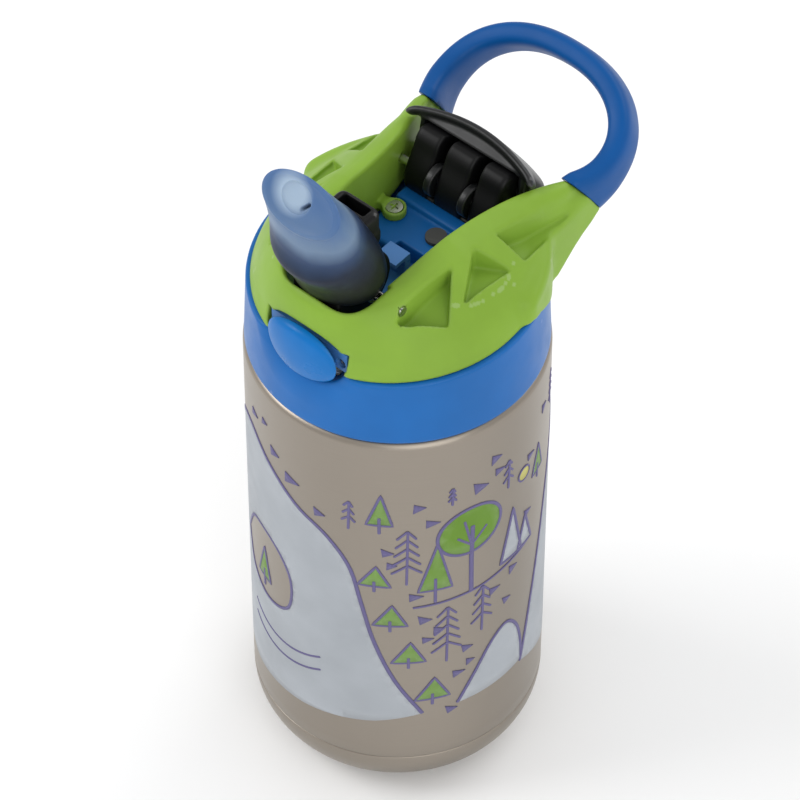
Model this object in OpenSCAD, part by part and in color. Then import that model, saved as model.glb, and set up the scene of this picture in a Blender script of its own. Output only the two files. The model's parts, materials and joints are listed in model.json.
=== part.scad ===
// Kids drinking bottle: vacuum-walled steel body, screw lid with a flip-up
// spout, a flip cover, a release button and a carry loop.
// The origin is the centre of the base. +Z is up, -Y is the button side.

/* [Steel body] */
// Outside diameter of the steel body
body_d = 73; // [72:0.5:74]
// Height of the shoulder of the steel body
body_h = 136; // [126:1:140]
// Height of the welded seam of the base cap
cap_seam_z = 16.3; // [14:0.1:20]
// Thickness of each steel wall
steel_t = 0.6; // [0.5:0.1:0.8]
// Clear gap of the vacuum between the two walls
vacuum_gap = 2.3; // [2:0.1:2.6]

/* [Neck and thread] */
// Outside radius of the neck
neck_r = 30; // [29.5:0.1:30.2]
// Height of the neck above the shoulder
neck_h = 14; // [13.5:0.1:14.2]
// Rise of the thread for each full turn
thread_pitch = 4; // [3.8:0.1:4.2]
// Number of turns of each thread ridge
thread_turns = 1.25; // [1:0.05:1.4]

/* [Lid] */
// Outside radius of the collar at its lower edge
collar_r = 36.2; // [36:0.1:36.4]
// Narrowing of the collar's radius up to its top edge
collar_taper = 1.1; // [0.8:0.1:1.2]
// Slope of the line between collar and shell, in degrees
seam_tilt = 2.86; // [2.5:0.02:3.2]
// Height of that line above the centre of the lid
seam_mid_z = 157.5; // [157.3:0.1:157.7]
// Depth that the button travels into the lid
button_travel = 2.5; // [2:0.1:2.6]

/* [Spout] */
// Lean of the open spout towards the button side, in degrees
spout_lean = 21; // [19:0.5:22]
// Distance from the pivot to the end of the mouthpiece
spout_reach = 35.9; // [35.4:0.1:36]

/* [Cover] */
// Slope of the open cover below the horizontal, in degrees
cover_slope = 56.6; // [56:0.2:57]
// Length of the cover from lip to rear edge
cover_len = 15; // [14:0.1:15.2]

/* [Carry loop] */
// Half width of the loop at its widest
loop_half_w = 24.2; // [23.8:0.1:24.6]
// Thickness of the loop band
loop_t = 5.85; // [5.4:0.05:6]
// Width of the loop band at its crest
loop_w = 10.4; // [10:0.1:11]

/* [Hidden] */
$fn = 96;

body_r = body_d / 2;
neck_top = body_h + neck_h;              // height of the bottle's lip
liner_r = body_r - steel_t - vacuum_gap; // outside radius of the inner wall
cap_corner_r = 15;                       // rounding at the foot of the body
shoulder_r = 2;                          // rounding of the shoulder
neck_in_r = neck_r - steel_t;            // weld between the two walls

thread_gap = 0.4;                        // radial clearance at each crest
thread_depth = 1.2;
collar_bore_r = neck_r + thread_depth + thread_gap;
collar_bottom = body_h + 0.3;
lid_plate_z = neck_top + 1.5;            // underside of the lid plate
lid_plate_t = 3;
collar_top_r = collar_r - collar_taper;
shell_r = collar_top_r - 0.2;            // foot of the shell's dome
well_r = 33.2;                           // wall of the front well
well_z = lid_plate_z + lid_plate_t;      // floor of the front well
deck_z = 160;                            // main deck behind the spout
rear_deck_z = 161.5;                     // raised deck below the cover
deck_half_w = 13.2;

spout_y = -19.5;                         // pivot of the spout
spout_z = 171.5;
spout_pin_r = 1.25;
spout_drum_r = 9.1;                      // round of the carrier about its pivot
port_y = -17;                            // drinking port of the lid
port_r = 3.2;
port_boss_r = 5;
port_boss_z = 147.5;                     // foot of the boss around the port
port_boss_top = 158.6;
adapter_z = 126;                         // foot of the straw adapter
vent_x = 2.5;                            // air vent in the deck
vent_y = 10.8;
vent_r = 1.5;
cover_y = 20;                            // pivot of the cover
cover_z = 167.3;
cover_pin_r = 1;
drum_y = 25.5;                           // centre of the hinge block's round
drum_z = 164.5;
drum_r = 8.2;
slot_x = 5.1;                            // middle of each slot of the block
slot_w = 2.4;
block_neck_r = 11.2;                     // reach of the block about the cover's pivot
block_half_w = 13.4;

button_z = 158.1;                        // centre of the button
button_bulge = 1.1;                      // how far the button stands out
button_back = -33.3;                     // rear side of the button's face
spring_x = 9.6;                          // centres of the button springs
spring_z = 157.4;
screw_x = 10.2;                          // centres of the shell screws
screw_y = 10.7;
screw_r = 1.05;
loop_cut_dir = 32.3;                     // slope of the loop's end faces
loop_cut_at = 122;                       // their distance from the origin
tenon_x = 22.2;                          // tenons that join arms and loop
tenon_z = 117;
tenon_r = 1.6;

// ---------------------------------------------------------------- helpers

// Points of a round stretch about [x, y] from angle a0 to angle a1.
function arc(x, y, r, a0, a1, n = 6) =
    [for (i = [0:n]) let (a = a0 + (a1 - a0) * i / n) [x + r * cos(a), y + r * sin(a)]];

// A closed solid through a list of rings that have the same number of points.
module skin(rings) {
    n = len(rings[0]);
    m = len(rings);
    sides = [for (j = [0:m - 2], i = [0:n - 1])
        [j * n + i, j * n + (i + 1) % n, (j + 1) * n + (i + 1) % n, (j + 1) * n + i]];
    first = [for (i = [0:n - 1]) n - 1 - i];
    last = [for (i = [0:n - 1]) (m - 1) * n + i];
    polyhedron([for (ring = rings) each ring], concat(sides, [first, last]), convexity = 6);
}

// A thread ridge between an inner and an outer radius, with its width at each.
module thread_ridge(r_in, r_out, z0, w_in, w_out) {
    steps = round(48 * thread_turns);
    skin([for (i = [0:steps])
        let (a = 360 * thread_turns * i / steps, z = z0 + thread_pitch * a / 360)
        [for (q = [[r_in, -w_in / 2], [r_out, -w_out / 2], [r_out, w_out / 2], [r_in, w_in / 2]])
            [q[0] * cos(a), q[0] * sin(a), z + q[1]]]]);
}

// A coil of round wire about +Z that starts at z = 0.
module coil(mean_r, wire_r, pitch, turns) {
    steps = 16 * turns;
    skin([for (i = [0:steps])
        let (a = 360 * turns * i / steps)
        [for (k = [0:7]) let (b = 45 * k, r = mean_r + wire_r * cos(b))
            [r * cos(a), r * sin(a), pitch * a / 360 + wire_r * sin(b)]]]);
}

// Everything above the tilted line between collar and shell.
module above_seam(lift = 0) {
    translate([0, 0, seam_mid_z + lift]) rotate([seam_tilt, 0, 0])
        translate([-60, -60, 0]) cube([120, 140, 60]);
}

// Everything behind the sloped faces where arms end and the loop begins.
module behind_loop_cut() {
    rotate([loop_cut_dir, 0, 0]) translate([-60, loop_cut_at, -120]) cube([120, 80, 240]);
}

// ---------------------------------------------------------------- steel body

// Outer wall with the shoulder, the neck and its thread.
module outer_shell() color("silver") {
    r = body_r;
    t = steel_t;
    s = shoulder_r;
    union() {
        rotate_extrude() polygon(concat(
            [[r - t, cap_seam_z], [r, cap_seam_z]],
            arc(r - s, body_h - s, s, 0, 90),
            [[neck_r + 0.6, body_h], [neck_r, body_h + 0.6], [neck_r, neck_top],
             [neck_in_r, neck_top], [neck_in_r, body_h - t + 0.8], [neck_in_r + 0.8, body_h - t]],
            arc(r - s, body_h - s, s - t, 90, 0)));
        thread_ridge(neck_r - 0.2, neck_r + thread_depth, body_h + 4, 2, 1);
    }
}

// Inner wall, a beaker that is welded to the outer wall at the lip.
module inner_liner() color("gainsboro") {
    r = liner_r;
    t = steel_t;
    c = 10;
    bottom = 4.2;
    rotate_extrude() polygon(concat(
        [[0, bottom]],
        arc(r - c, bottom + c, c, -90, 0),
        [[r, body_h - 8], [neck_in_r, body_h - 2.5], [neck_in_r, neck_top],
         [neck_in_r - t, neck_top], [neck_in_r - t, body_h - 2.8], [r - t, body_h - 8.3]],
        arc(r - c, bottom + c, c - t, 0, -90),
        [[0, bottom + t]]));
}

// Cap that closes the foot, with a shallow seat for the disc.
module base_cap() color("silver") {
    r = body_r;
    c = cap_corner_r;
    t = steel_t;
    rotate_extrude() polygon(concat(
        arc(r - c, c, c - t, -90, 0),
        [[r - t, cap_seam_z], [r, cap_seam_z]],
        arc(r - c, c, c, 0, -90),
        [[20, 0], [19.8, t + 0.02], [0, t + 0.02], [0, 2 * t + 0.02], [20.4, 2 * t + 0.02], [21.2, t]]));
}

// Disc that hides the vacuum seal.
module base_disc() color("silver") cylinder(r = 19, h = steel_t);

// Glass bead that closes the vacuum.
module vacuum_seal() color("dimgray") translate([0, 0, 2 * steel_t + 0.02]) cylinder(r = 4, h = 1.4);

// ---------------------------------------------------------------- lid base

// Flat ring between the bottle's lip and the lid plate.
module lid_gasket() color("whitesmoke") translate([0, 0, neck_top + 0.05])
    difference() {
        cylinder(r = neck_r + 0.6, h = 1.4);
        translate([0, 0, -1]) cylinder(r = neck_in_r - 2, h = 4);
    }

// Screw collar with the lid plate, the decks and the drinking port.
module collar() color("royalblue") {
    post_w = 2.8;
    difference() {
        union() {
            difference() {
                translate([0, 0, collar_bottom]) cylinder(r1 = collar_r, r2 = collar_top_r, h = 25);
                translate([0, 0, collar_bottom - 1])
                    cylinder(r = collar_bore_r, h = lid_plate_z - collar_bottom + 1);
                translate([0, 0, well_z]) cylinder(r = well_r, h = 25);
                above_seam();
            }
            thread_ridge(neck_r + thread_gap, collar_bore_r + 0.2, body_h + 6, 1, 2);
            deck_block(2, 14.5, deck_z);
            deck_block(14.4, 32, rear_deck_z);
            translate([0, port_y, port_boss_z])
                cylinder(r = port_boss_r, h = port_boss_top - port_boss_z);
            // posts that carry the button springs
            for (side = [-1, 1])
                translate([side * spring_x - post_w / 2, -24.6, well_z - 1]) cube([post_w, 1.6, 6]);
        }
        translate([0, port_y, 130]) cylinder(r = port_r, h = 40);
        translate([vent_x, vent_y, 140]) cylinder(r = vent_r, h = 30);
        for (side = [-1, 1])
            translate([side * screw_x, screw_y, deck_z - 6]) cylinder(r = screw_r + 0.05, h = 10);
        // path of the latch hook in the edge of the deck
        translate([-3.6, 0, well_z]) cube([7.2, 5, 12]);
        // room of the button
        intersection() {
            translate([0, -24, button_z]) rotate([90, 0, 0]) button_outline(0.35, 20);
            translate([-20, -45, 150]) cube([40, 18, 30]);
        }
    }
}

// A block of the deck between two distances from the middle.
module deck_block(y0, y1, top) {
    intersection() {
        translate([-deck_half_w, y0, well_z - 1]) cube([2 * deck_half_w, y1 - y0, top - well_z + 1]);
        cylinder(r = well_r + 0.1, h = 200);
    }
}

// Soft ring that the drum of the spout turns on.
module port_seal() color("whitesmoke") translate([0, port_y, port_boss_top])
    difference() {
        cylinder(r = 4.5, h = 3.6);
        translate([0, 0, -1]) cylinder(r = port_r, h = 6);
    }

// Valve that lets air in while drinking.
module vent_valve() color("black") translate([vent_x, vent_y, deck_z]) {
    cylinder(r = 2.6, h = 1);
    translate([0, 0, -6]) cylinder(r = vent_r - 0.05, h = 6.5);
}

// Sleeve that is pushed onto the boss of the port and holds the straw.
module straw_adapter() color("whitesmoke") translate([0, port_y, adapter_z]) {
    step = port_boss_z - adapter_z;
    difference() {
        union() {
            cylinder(r = 4.6, h = step);
            translate([0, 0, step - 2]) cylinder(r = 6.4, h = 5.6);
        }
        translate([0, 0, -1]) cylinder(r = port_r + 0.05, h = step + 2);
        translate([0, 0, step]) cylinder(r = port_boss_r + 0.05, h = 10);
    }
}

module straw() color("lightblue") translate([0, port_y, 9])
    difference() {
        cylinder(r = port_r, h = 128);
        translate([0, 0, -1]) cylinder(r = port_r - 0.8, h = 140);
        // slanted mouth at the foot
        translate([0, 0, -1]) rotate([35, 0, 0]) translate([-5, -8, -5]) cube([10, 16, 5]);
    }

// ---------------------------------------------------------------- lid shell

// Inner edge of the ridge at t, which runs from -1 at the button side to 1 at
// the root of the loop: half width and height.
function ridge_x(t) = t < 0 ? 13.8 + 2.6 * t : 13.8 + 0.5 * t + 4.4 * t * t;
function ridge_z(t) = t < 0 ? 177.6 + 2.2 * t - 1.6 * t * t
                            : 177.6 - 2.5 * t + 0.8 * t * t - 1.8 * t * t * t;

// Outline of the opening between the two arms, grown by g.
module opening_outline(g) {
    right = [for (t = [-0.4:0.2:1.2]) [ridge_x(t) + g, 30 * t]];
    left = [for (i = [len(right) - 1:-1:0]) [-right[i][0], right[i][1]]];
    corner = 4.8;
    x = 6.9;
    y = -24.2;
    polygon(concat(right, left, arc(-x, y, corner + g, 180, 270), arc(x, y, corner + g, 270, 360)));
}

// The smooth dome between the collar and the ridge; inset moves it inwards.
module dome(inset) {
    hull() {
        translate([0, 0, seam_mid_z]) rotate([seam_tilt, 0, 0]) cylinder(r = shell_r - inset, h = 0.4);
        for (side = [-1, 1], t = [-0.6:0.35:0.8])
            translate([side * (ridge_x(t) + 2 - inset * 0.4), 30 * t, ridge_z(t) - 1.8 - inset])
                sphere(r = 1.8, $fn = 16);
        for (a = [-38:19:38])
            translate([32 * sin(a), -32.4 * cos(a), 164.5 - inset]) sphere(r = 2.2 - inset * 0.5, $fn = 16);
        for (x = [-8, 8])
            translate([x, -27 + inset, 172 - inset]) sphere(r = 1.8, $fn = 16);
    }
}

// One arm that runs back from the dome to the root of the loop, with a web
// below it that leans on the side of the collar.
module arm() {
    for (points = [[[17.8, 18, 172.6], [20.6, 34, 170.2], [21.4, 37, 170.4], [22.6, 46.5, 159.2],
                    [23.4, 33, 160.4], [24, 20, 160.8]],
                   [[23.4, 30, 163], [22.6, 45.2, 161.6], [23.2, 27, 150.6]]])
        hull() for (p = points) translate(p) sphere(r = 2.4, $fn = 16);
}

// Low wall on the collar that joins the two arms behind the hinge block.
module rear_wall() {
    r = shell_r;
    intersection() {
        difference() {
            cylinder(r = r, h = 163);
            cylinder(r = r - 1.5, h = 400, center = true);
        }
        translate([-21, 27, 150]) cube([42, 10, 20]);
    }
}

// Outline of one triangular pocket in the side of an arm.
module pocket(points) {
    rotate([90, 0, 90]) linear_extrude(height = 14) polygon(points);
}

// Shell with the two arms, their pockets and the roots of the loop.
module lid_shell() color("yellowgreen") {
    difference() {
        union() {
            difference() {
                union() {
                    dome(0);
                    arm();
                    mirror([1, 0, 0]) arm();
                }
                linear_extrude(height = 300) opening_outline(0);
                // hollow under the slopes
                difference() {
                    dome(7);
                    linear_extrude(height = 300) opening_outline(2.2);
                }
                // open back between the arms
                translate([-19.4, 33, 140]) cube([38.8, 40, 60]);
                behind_loop_cut();
            }
            rear_wall();
            for (side = [-1, 1]) {
                translate([side * screw_x, screw_y, deck_z]) cylinder(r = 2.9, h = 2.4);
                translate([side * 13.4 - 3, 9.4, deck_z]) cube([6, 2.6, 2.2]);
                // tenon that carries the loop
                rotate([loop_cut_dir, 0, 0]) translate([side * tenon_x, loop_cut_at - 3, tenon_z])
                    rotate([-90, 0, 0]) cylinder(r = tenon_r, h = 9);
            }
        }
        for (side = [-1, 1]) {
            translate([side * screw_x, screw_y, deck_z - 1]) cylinder(r = screw_r + 0.2, h = 5);
            translate([side * screw_x, screw_y, deck_z + 1]) cylinder(r = 2.2, h = 3);
            // sunk mouth of each hole for the spout's pins
            translate([side * 18.6, spout_y, spout_z]) rotate([0, side * 90, 0]) cylinder(r = 2.6, h = 20);
        }
        for (side = [0, 1]) mirror([side, 0, 0]) {
            translate([20.5, 0, 0]) pocket([[-16.5, 166.5], [-15, 171.4], [-2, 172.6], [-6, 166.5]]);
            translate([22, 0, 0]) pocket([[2, 171.4], [-0.5, 165.4], [10, 170.4]]);
            translate([23, 0, 0]) pocket([[12.6, 170], [30, 168.6], [16.5, 163.8]]);
        }
        translate([-40, spout_y, spout_z]) rotate([0, 90, 0]) cylinder(r = spout_pin_r, h = 80);
        translate([-18.5, cover_y, cover_z]) rotate([0, 90, 0]) cylinder(r = cover_pin_r, h = 37);
        // room of the button
        translate([0, -24, button_z]) rotate([90, 0, 0]) button_outline(0.35, 20);
        translate([-12, -31.6, 150]) cube([24, 9, 11.8]);
        // the shell sits on the collar and the deck
        difference() {
            translate([0, 0, 130]) cylinder(r = collar_r + 0.05, h = 60);
            above_seam(0.02);
            translate([-deck_half_w - 0.2, 2, deck_z]) cube([2 * deck_half_w + 0.4, 20, 20]);
        }
    }
}

// Two screws with cross slots that hold the shell on the deck.
module shell_screws() color("silver") for (side = [-1, 1])
    translate([side * screw_x, screw_y, deck_z - 5])
        difference() {
            union() {
                cylinder(r = screw_r, h = 6.2);
                translate([0, 0, 6.05]) cylinder(r = 2.05, h = 1.2);
            }
            for (turn = [0, 90]) rotate([0, 0, turn])
                translate([-1.2, -0.25, 6.6]) cube([2.4, 0.5, 1]);
        }

// ---------------------------------------------------------------- carry loop

// Side view of the loop's middle line, from its root at s = 0 to its crest.
loop_reach = 23.3;
function loop_y(s) = 39.6 + loop_reach * s;
function loop_z(s) = 165.6 + 8.6 * s + 4.2 * s * s;
function loop_slope(s) = atan2(8.6 + 8.4 * s, loop_reach);

// Half width of the loop's middle line at s.
function loop_x(s) = s < 0.31
    ? 21.6 + (loop_half_w - 21.6) * sin(90 * (s + 0.06) / 0.37)
    : loop_half_w * pow(max(0, 1 - pow((s - 0.31) / 0.69, 2.27)), 1 / 2.27);

// One ring of the band: p is its centre, d its direction, u the width direction.
function band_ring(p, d, u, w, t, n = 16) =
    let (v = cross(u, d), h = v / norm(v))
    [for (i = [0:n - 1]) let (a = 360 * i / n, c = cos(a), s = sin(a))
        p + u * w / 2 * sign(c) * pow(abs(c), 0.75) + h * t / 2 * sign(s) * pow(abs(s), 0.75)];

// The middle line is walked by angle, so its stations stay evenly spread.
function loop_s(a) = a < 0 ? 0.31 + 0.37 * a / 30 : 0.31 + 0.69 * pow(sin(a), 2 / 2.27);
function loop_point(a) = let (s = min(loop_s(a), 1)) [loop_x(s), loop_y(s), loop_z(s)];

// Band from one arm round to the other; its roots widen and reach into the arms.
module carry_loop() color("royalblue") {
    angles = [for (a = [-30:10:-10]) a, for (a = [0:7.5:90]) a];
    root = loop_point(angles[0]) - [0.4, 4, 1.5];
    half = [root, for (a = angles) loop_point(a)];
    line = concat(half, [for (i = [len(half) - 2:-1:0]) [-half[i][0], half[i][1], half[i][2]]]);
    n = len(line);
    difference() {
        intersection() {
            skin([for (i = [0:n - 1])
                let (d = line[min(i + 1, n - 1)] - line[max(i - 1, 0)],
                     s = (line[i][1] - loop_y(0)) / loop_reach,
                     slope = loop_slope(max(s, 0)),
                     w = loop_w + 8 * pow(max(0, 1 - max(s, 0)), 3))
                band_ring(line[i], d / norm(d), [0, -sin(slope), cos(slope)], w, loop_t)]);
            behind_loop_cut();
        }
        for (side = [-1, 1]) rotate([loop_cut_dir, 0, 0])
            translate([side * tenon_x, loop_cut_at - 4, tenon_z])
                rotate([-90, 0, 0]) cylinder(r = tenon_r, h = 10.2);
    }
}

// ---------------------------------------------------------------- spout

// A cross-section ring of the spout at distance w from its pivot, turned by
// tilt so that its rear edge is the higher one.
function spout_ring(w, mid_v, tilt, half_x, half_v, n = 32) =
    [for (i = [0:n - 1]) let (a = 360 * i / n, v = half_v * sin(a))
        [half_x * cos(a), mid_v + v * cos(tilt), w + v * sin(tilt)]];

// Moves from the spout's own frame, +Z along the open spout, to the lid.
module at_spout() {
    translate([0, spout_y, spout_z]) rotate([spout_lean, 0, 0]) children();
}

// Two stubs, so that the drinking channel passes between them.
module spout_pins() color("silver") for (side = [-1, 1])
    translate([side * 11.4, spout_y, spout_z]) rotate([0, 90, 0])
        cylinder(r = spout_pin_r, h = 14, center = true);

module spout_spring() color("silver") translate([7.5, spout_y, spout_z]) rotate([0, 90, 0])
    coil(2, 0.35, 0.8, 3);

// Hard core of the spout with its drum, its neck and its catch.
module spout_carrier() color("black") {
    half_x = 7;
    difference() {
        union() {
            // drum that turns on the port seal
            translate([-half_x, spout_y, spout_z]) rotate([0, 90, 0])
                cylinder(r = spout_drum_r, h = 2 * half_x);
            at_spout() cylinder(r = 6.6, h = 16);
            // catch box behind the spout and the web that holds it
            translate([-5.7, -20, 181]) cube([11.4, 7.7, 9.6]);
            translate([-5.6, -17.4, 174]) cube([11.2, 4.6, 9]);
        }
        translate([-3.9, -15.9, 186]) cube([7.8, 2.5, 6]);
        for (side = [-1, 1]) translate([side * 8, spout_y, spout_z]) rotate([0, 90, 0])
            cylinder(r = spout_pin_r + 0.05, h = 7.4, center = true);
        at_spout() translate([0, 0, -20]) cylinder(r = 3, h = 40);
    }
}

// Soft mouthpiece with a bite slit.
module spout_nozzle() color("cornflowerblue") at_spout()
    difference() {
        skin([for (k = [[8.4, -1.6, 0, 11.6, 8.2], [13.6, 0, -8, 12.6, 10], [18.8, -0.8, 2.6, 12.4, 9.8],
                        [24.2, -0.5, 12.5, 12, 8.1], [30.1, -0.5, 29, 11.4, 7.3],
                        [spout_reach, -0.5, 42.6, 11.2, 6.9]])
            spout_ring(k[0], k[1], k[2], k[3], k[4])]);
        cylinder(r = 6.65, h = 16.1);
        translate([0, 0, 10]) cylinder(r = 3, h = 21);
        translate([-1.6, -0.2, 29]) cube([3.2, 0.4, 12]);
        // room of the drum and of the catch box
        translate([-7.1, 0, 0]) rotate([0, 90, 0]) cylinder(r = spout_drum_r + 0.1, h = 14.2);
        rotate([-spout_lean, 0, 0]) translate([-5.8, -0.6, 9]) cube([11.6, 14, 10.2]);
    }

// ---------------------------------------------------------------- button

// Pointed oval outline of the button, grown by g and made h thick.
module button_outline(g, h) {
    half_w = 11;
    half_h = 7.4;
    r = (half_w * half_w + half_h * half_h) / (2 * half_h);
    intersection() {
        translate([0, r - half_h, 0]) cylinder(r = r + g, h = h);
        translate([0, half_h - r, 0]) cylinder(r = r + g, h = h);
        translate([0, 0, h / 2]) cube([2 * half_w - 1.2 + 2 * g, 30, h], center = true);
    }
}

// Face of the release button, which follows the round of the collar.
module front_button() color("dodgerblue") {
    intersection() {
        translate([0, button_back, button_z]) rotate([90, 0, 0]) button_outline(0, 6);
        translate([0, 0, 130]) cylinder(r = collar_top_r + button_bulge, h = 50);
    }
}

// Slide behind the button: a flange that keeps it in, a frame around the
// spout port and a hook that holds the catch box of the folded spout.
module button_latch() color("dodgerblue") {
    z = 155.1;
    difference() {
        union() {
            translate([-8, button_back, z]) cube([16, 26, 1.6]);
            translate([-3, -8, z]) cube([6, 9, 1.6]);
            translate([-3, -0.9, z]) cube([6, 1.9, 8.3]);
            translate([-3, -4.2, z + 7.2]) cube([6, 4, 1.1]);
            translate([-11.4, -31, z]) cube([22.8, 1.5, 6]);
            translate([-5, button_back, z]) cube([10, 3, 5]);
        }
        for (y = [port_y, port_y - button_travel]) translate([0, y, 150]) cylinder(r = 5.6, h = 8);
        // holes of the flange that pass over the springs
        for (side = [-1, 1]) translate([side * spring_x, -28, spring_z])
            rotate([90, 0, 0]) cylinder(r = 1.4, h = 4);
        translate([-5.6, port_y - button_travel, 150]) cube([11.2, button_travel, 8]);
    }
}

module button_springs() color("silver") for (side = [-1, 1])
    translate([side * spring_x, -30.5, spring_z]) rotate([-90, 0, 0]) coil(1, 0.25, 1.4, 4);

// ---------------------------------------------------------------- cover

// Block on the rear deck that the cover turns on.
module hinge_block() color("black") {
    w = 2 * block_half_w;
    difference() {
        intersection() {
            translate([-block_half_w, 0, 0]) union() {
                translate([0, drum_y, drum_z]) rotate([0, 90, 0]) cylinder(r = drum_r, h = w);
                // foot, and the neck that rises to the underside of the cover
                translate([0, drum_y - 4, 157]) cube([w, 11, 10]);
                translate([0, 23.2, 160]) cube([w, 8, 20]);
            }
            translate([-20, 0, rear_deck_z + 0.01]) cube([40, 33, 30]);
            translate([-20, cover_y, cover_z]) rotate([0, 90, 0]) cylinder(r = block_neck_r, h = 40);
        }
        for (side = [-1, 1])
            translate([side * slot_x - slot_w / 2, 10, rear_deck_z + 1]) cube([slot_w, 30, 20]);
        translate([-20, cover_y, cover_z]) rotate([0, 90, 0]) cylinder(r = cover_pin_r, h = 40);
    }
}

// Pin of the cover, pressed into the arms.
module cover_pin() color("silver") translate([-17.5, cover_y, cover_z]) rotate([0, 90, 0])
    cylinder(r = cover_pin_r, h = 35);

module cover_spring() color("silver") translate([13.75, cover_y, cover_z]) rotate([0, 90, 0])
    coil(1.65, 0.3, 0.7, 2);

// Moves from the cover's own frame, +Y from lip to rear edge, to the lid.
module at_cover() {
    translate([0, 25.5, 179]) rotate([-cover_slope, 0, 0]) children();
}

// Arched plate of the cover: half width x, from y0 to y1.
module cover_plate(x, y0, y1) {
    r = 44;
    drop = r - 4.5;
    rotate([-90, 0, 0]) translate([0, 0, y0]) linear_extrude(height = y1 - y0) intersection() {
        difference() {
            translate([0, drop]) circle(r = r);
            translate([0, drop]) circle(r = r - 2);
        }
        translate([-x, -8]) square([2 * x, 9.5]);
    }
}

// What lies under the arched plate.
module cover_fill(x, y0, y1) {
    r = 44;
    rotate([-90, 0, 0]) translate([0, 0, y0]) linear_extrude(height = y1 - y0) intersection() {
        translate([0, r - 4.5]) circle(r = r - 1);
        translate([-x, -8]) square([2 * x, 16]);
    }
}

// Flip cover: a wide lip, an arched plate with side walls and two hinge ribs.
module cover_hood() color("black") {
    rib = 2;
    half_w = 15.4;
    wall = 1.5;
    difference() {
        union() {
            at_cover() {
                cover_plate(half_w + 4, 0, 2.2);
                cover_plate(half_w, 2, cover_len);
                for (side = [0, 1]) mirror([side, 0, 0])
                    translate([half_w - wall, 0, 0]) rotate([90, 0, 90]) linear_extrude(height = wall)
                        polygon([[1, 0.8], [7.5, -5], [cover_len, -5], [cover_len, 0.8]]);
            }
            // web that closes the gap between the plate and the block
            intersection() {
                translate([-half_w, cover_y, cover_z]) rotate([0, 90, 0]) difference() {
                    cylinder(r = block_neck_r + 5, h = 2 * half_w);
                    translate([0, 0, -1]) cylinder(r = block_neck_r + 0.2, h = 2 * half_w + 2);
                }
                at_cover() cover_fill(half_w - wall / 2, 3, cover_len - 0.9);
            }
            // two ribs that turn in the slots of the hinge block
            for (side = [-1, 1]) translate([side * slot_x - rib / 2, 0, 0]) {
                translate([0, cover_y, cover_z]) rotate([0, 90, 0]) cylinder(r = 4.2, h = rib);
                rotate([90, 0, 90]) linear_extrude(height = rib)
                    polygon([[20.5, 169.4], [24.5, 167.6], [28.3, 171.3], [32.1, 173.8],
                             [35.2, 169], [30, 166.8], [25, 163.9], [21, 165.3]]);
            }
        }
        translate([-20, cover_y, cover_z]) rotate([0, 90, 0]) cylinder(r = cover_pin_r + 0.05, h = 40);
    }
}

outer_shell();
inner_liner();
base_cap();
base_disc();
vacuum_seal();
lid_gasket();
collar();
lid_shell();
carry_loop();
shell_screws();
port_seal();
vent_valve();
straw_adapter();
straw();
spout_pins();
spout_spring();
spout_carrier();
spout_nozzle();
front_button();
button_latch();
button_springs();
hinge_block();
cover_pin();
cover_spring();
cover_hood();
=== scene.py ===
"""Kids drinking bottle: detailed meshes, materials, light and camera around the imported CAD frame.

Shapes are worked out in millimetres in the frame of the CAD model and turned into metres when a
mesh is made. Most pieces are level sets: a function gives the signed distance to the surface, so
edges and joins get real rounding, and one mesher turns it into a smooth closed mesh.
"""
import json
import math

import bmesh
import bpy
import numpy as np
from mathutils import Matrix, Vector
from mathutils.geometry import delaunay_2d_cdt


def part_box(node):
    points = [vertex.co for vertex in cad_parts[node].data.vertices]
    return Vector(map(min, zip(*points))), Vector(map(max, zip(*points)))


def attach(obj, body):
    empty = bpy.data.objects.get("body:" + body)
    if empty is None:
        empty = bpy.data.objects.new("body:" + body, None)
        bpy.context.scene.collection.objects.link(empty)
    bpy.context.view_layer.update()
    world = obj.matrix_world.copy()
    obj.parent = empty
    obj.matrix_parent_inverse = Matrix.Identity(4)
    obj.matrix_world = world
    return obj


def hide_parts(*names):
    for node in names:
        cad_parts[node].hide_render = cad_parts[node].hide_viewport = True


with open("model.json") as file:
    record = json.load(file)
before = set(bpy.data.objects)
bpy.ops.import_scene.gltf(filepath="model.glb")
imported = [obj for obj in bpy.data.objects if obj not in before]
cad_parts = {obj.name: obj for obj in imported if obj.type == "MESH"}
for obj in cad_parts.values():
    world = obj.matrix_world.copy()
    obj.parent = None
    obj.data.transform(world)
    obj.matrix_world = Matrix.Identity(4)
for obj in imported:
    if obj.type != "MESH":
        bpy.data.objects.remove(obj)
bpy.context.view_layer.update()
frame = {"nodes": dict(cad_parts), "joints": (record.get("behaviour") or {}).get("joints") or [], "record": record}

MM = 0.001
nodes = frame["nodes"]


# ---------------------------------------------------------------- places in the frame

def box_mm(node):
    """Lowest and highest corner of a CAD node, in millimetres."""
    return [np.array(corner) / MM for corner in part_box(node)]


def pivot_mm(joint):
    """Place of a hinge, in millimetres."""
    found = next(j for j in frame["joints"] if j["name"] == joint)
    return np.array(found["pos_m"]) / MM


steel_hi = box_mm("outer_shell")[1]
collar_lo, collar_hi = box_mm("collar")
spout_pivot = pivot_mm("spout_flip")
cover_pivot = pivot_mm("cover_flip")

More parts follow.
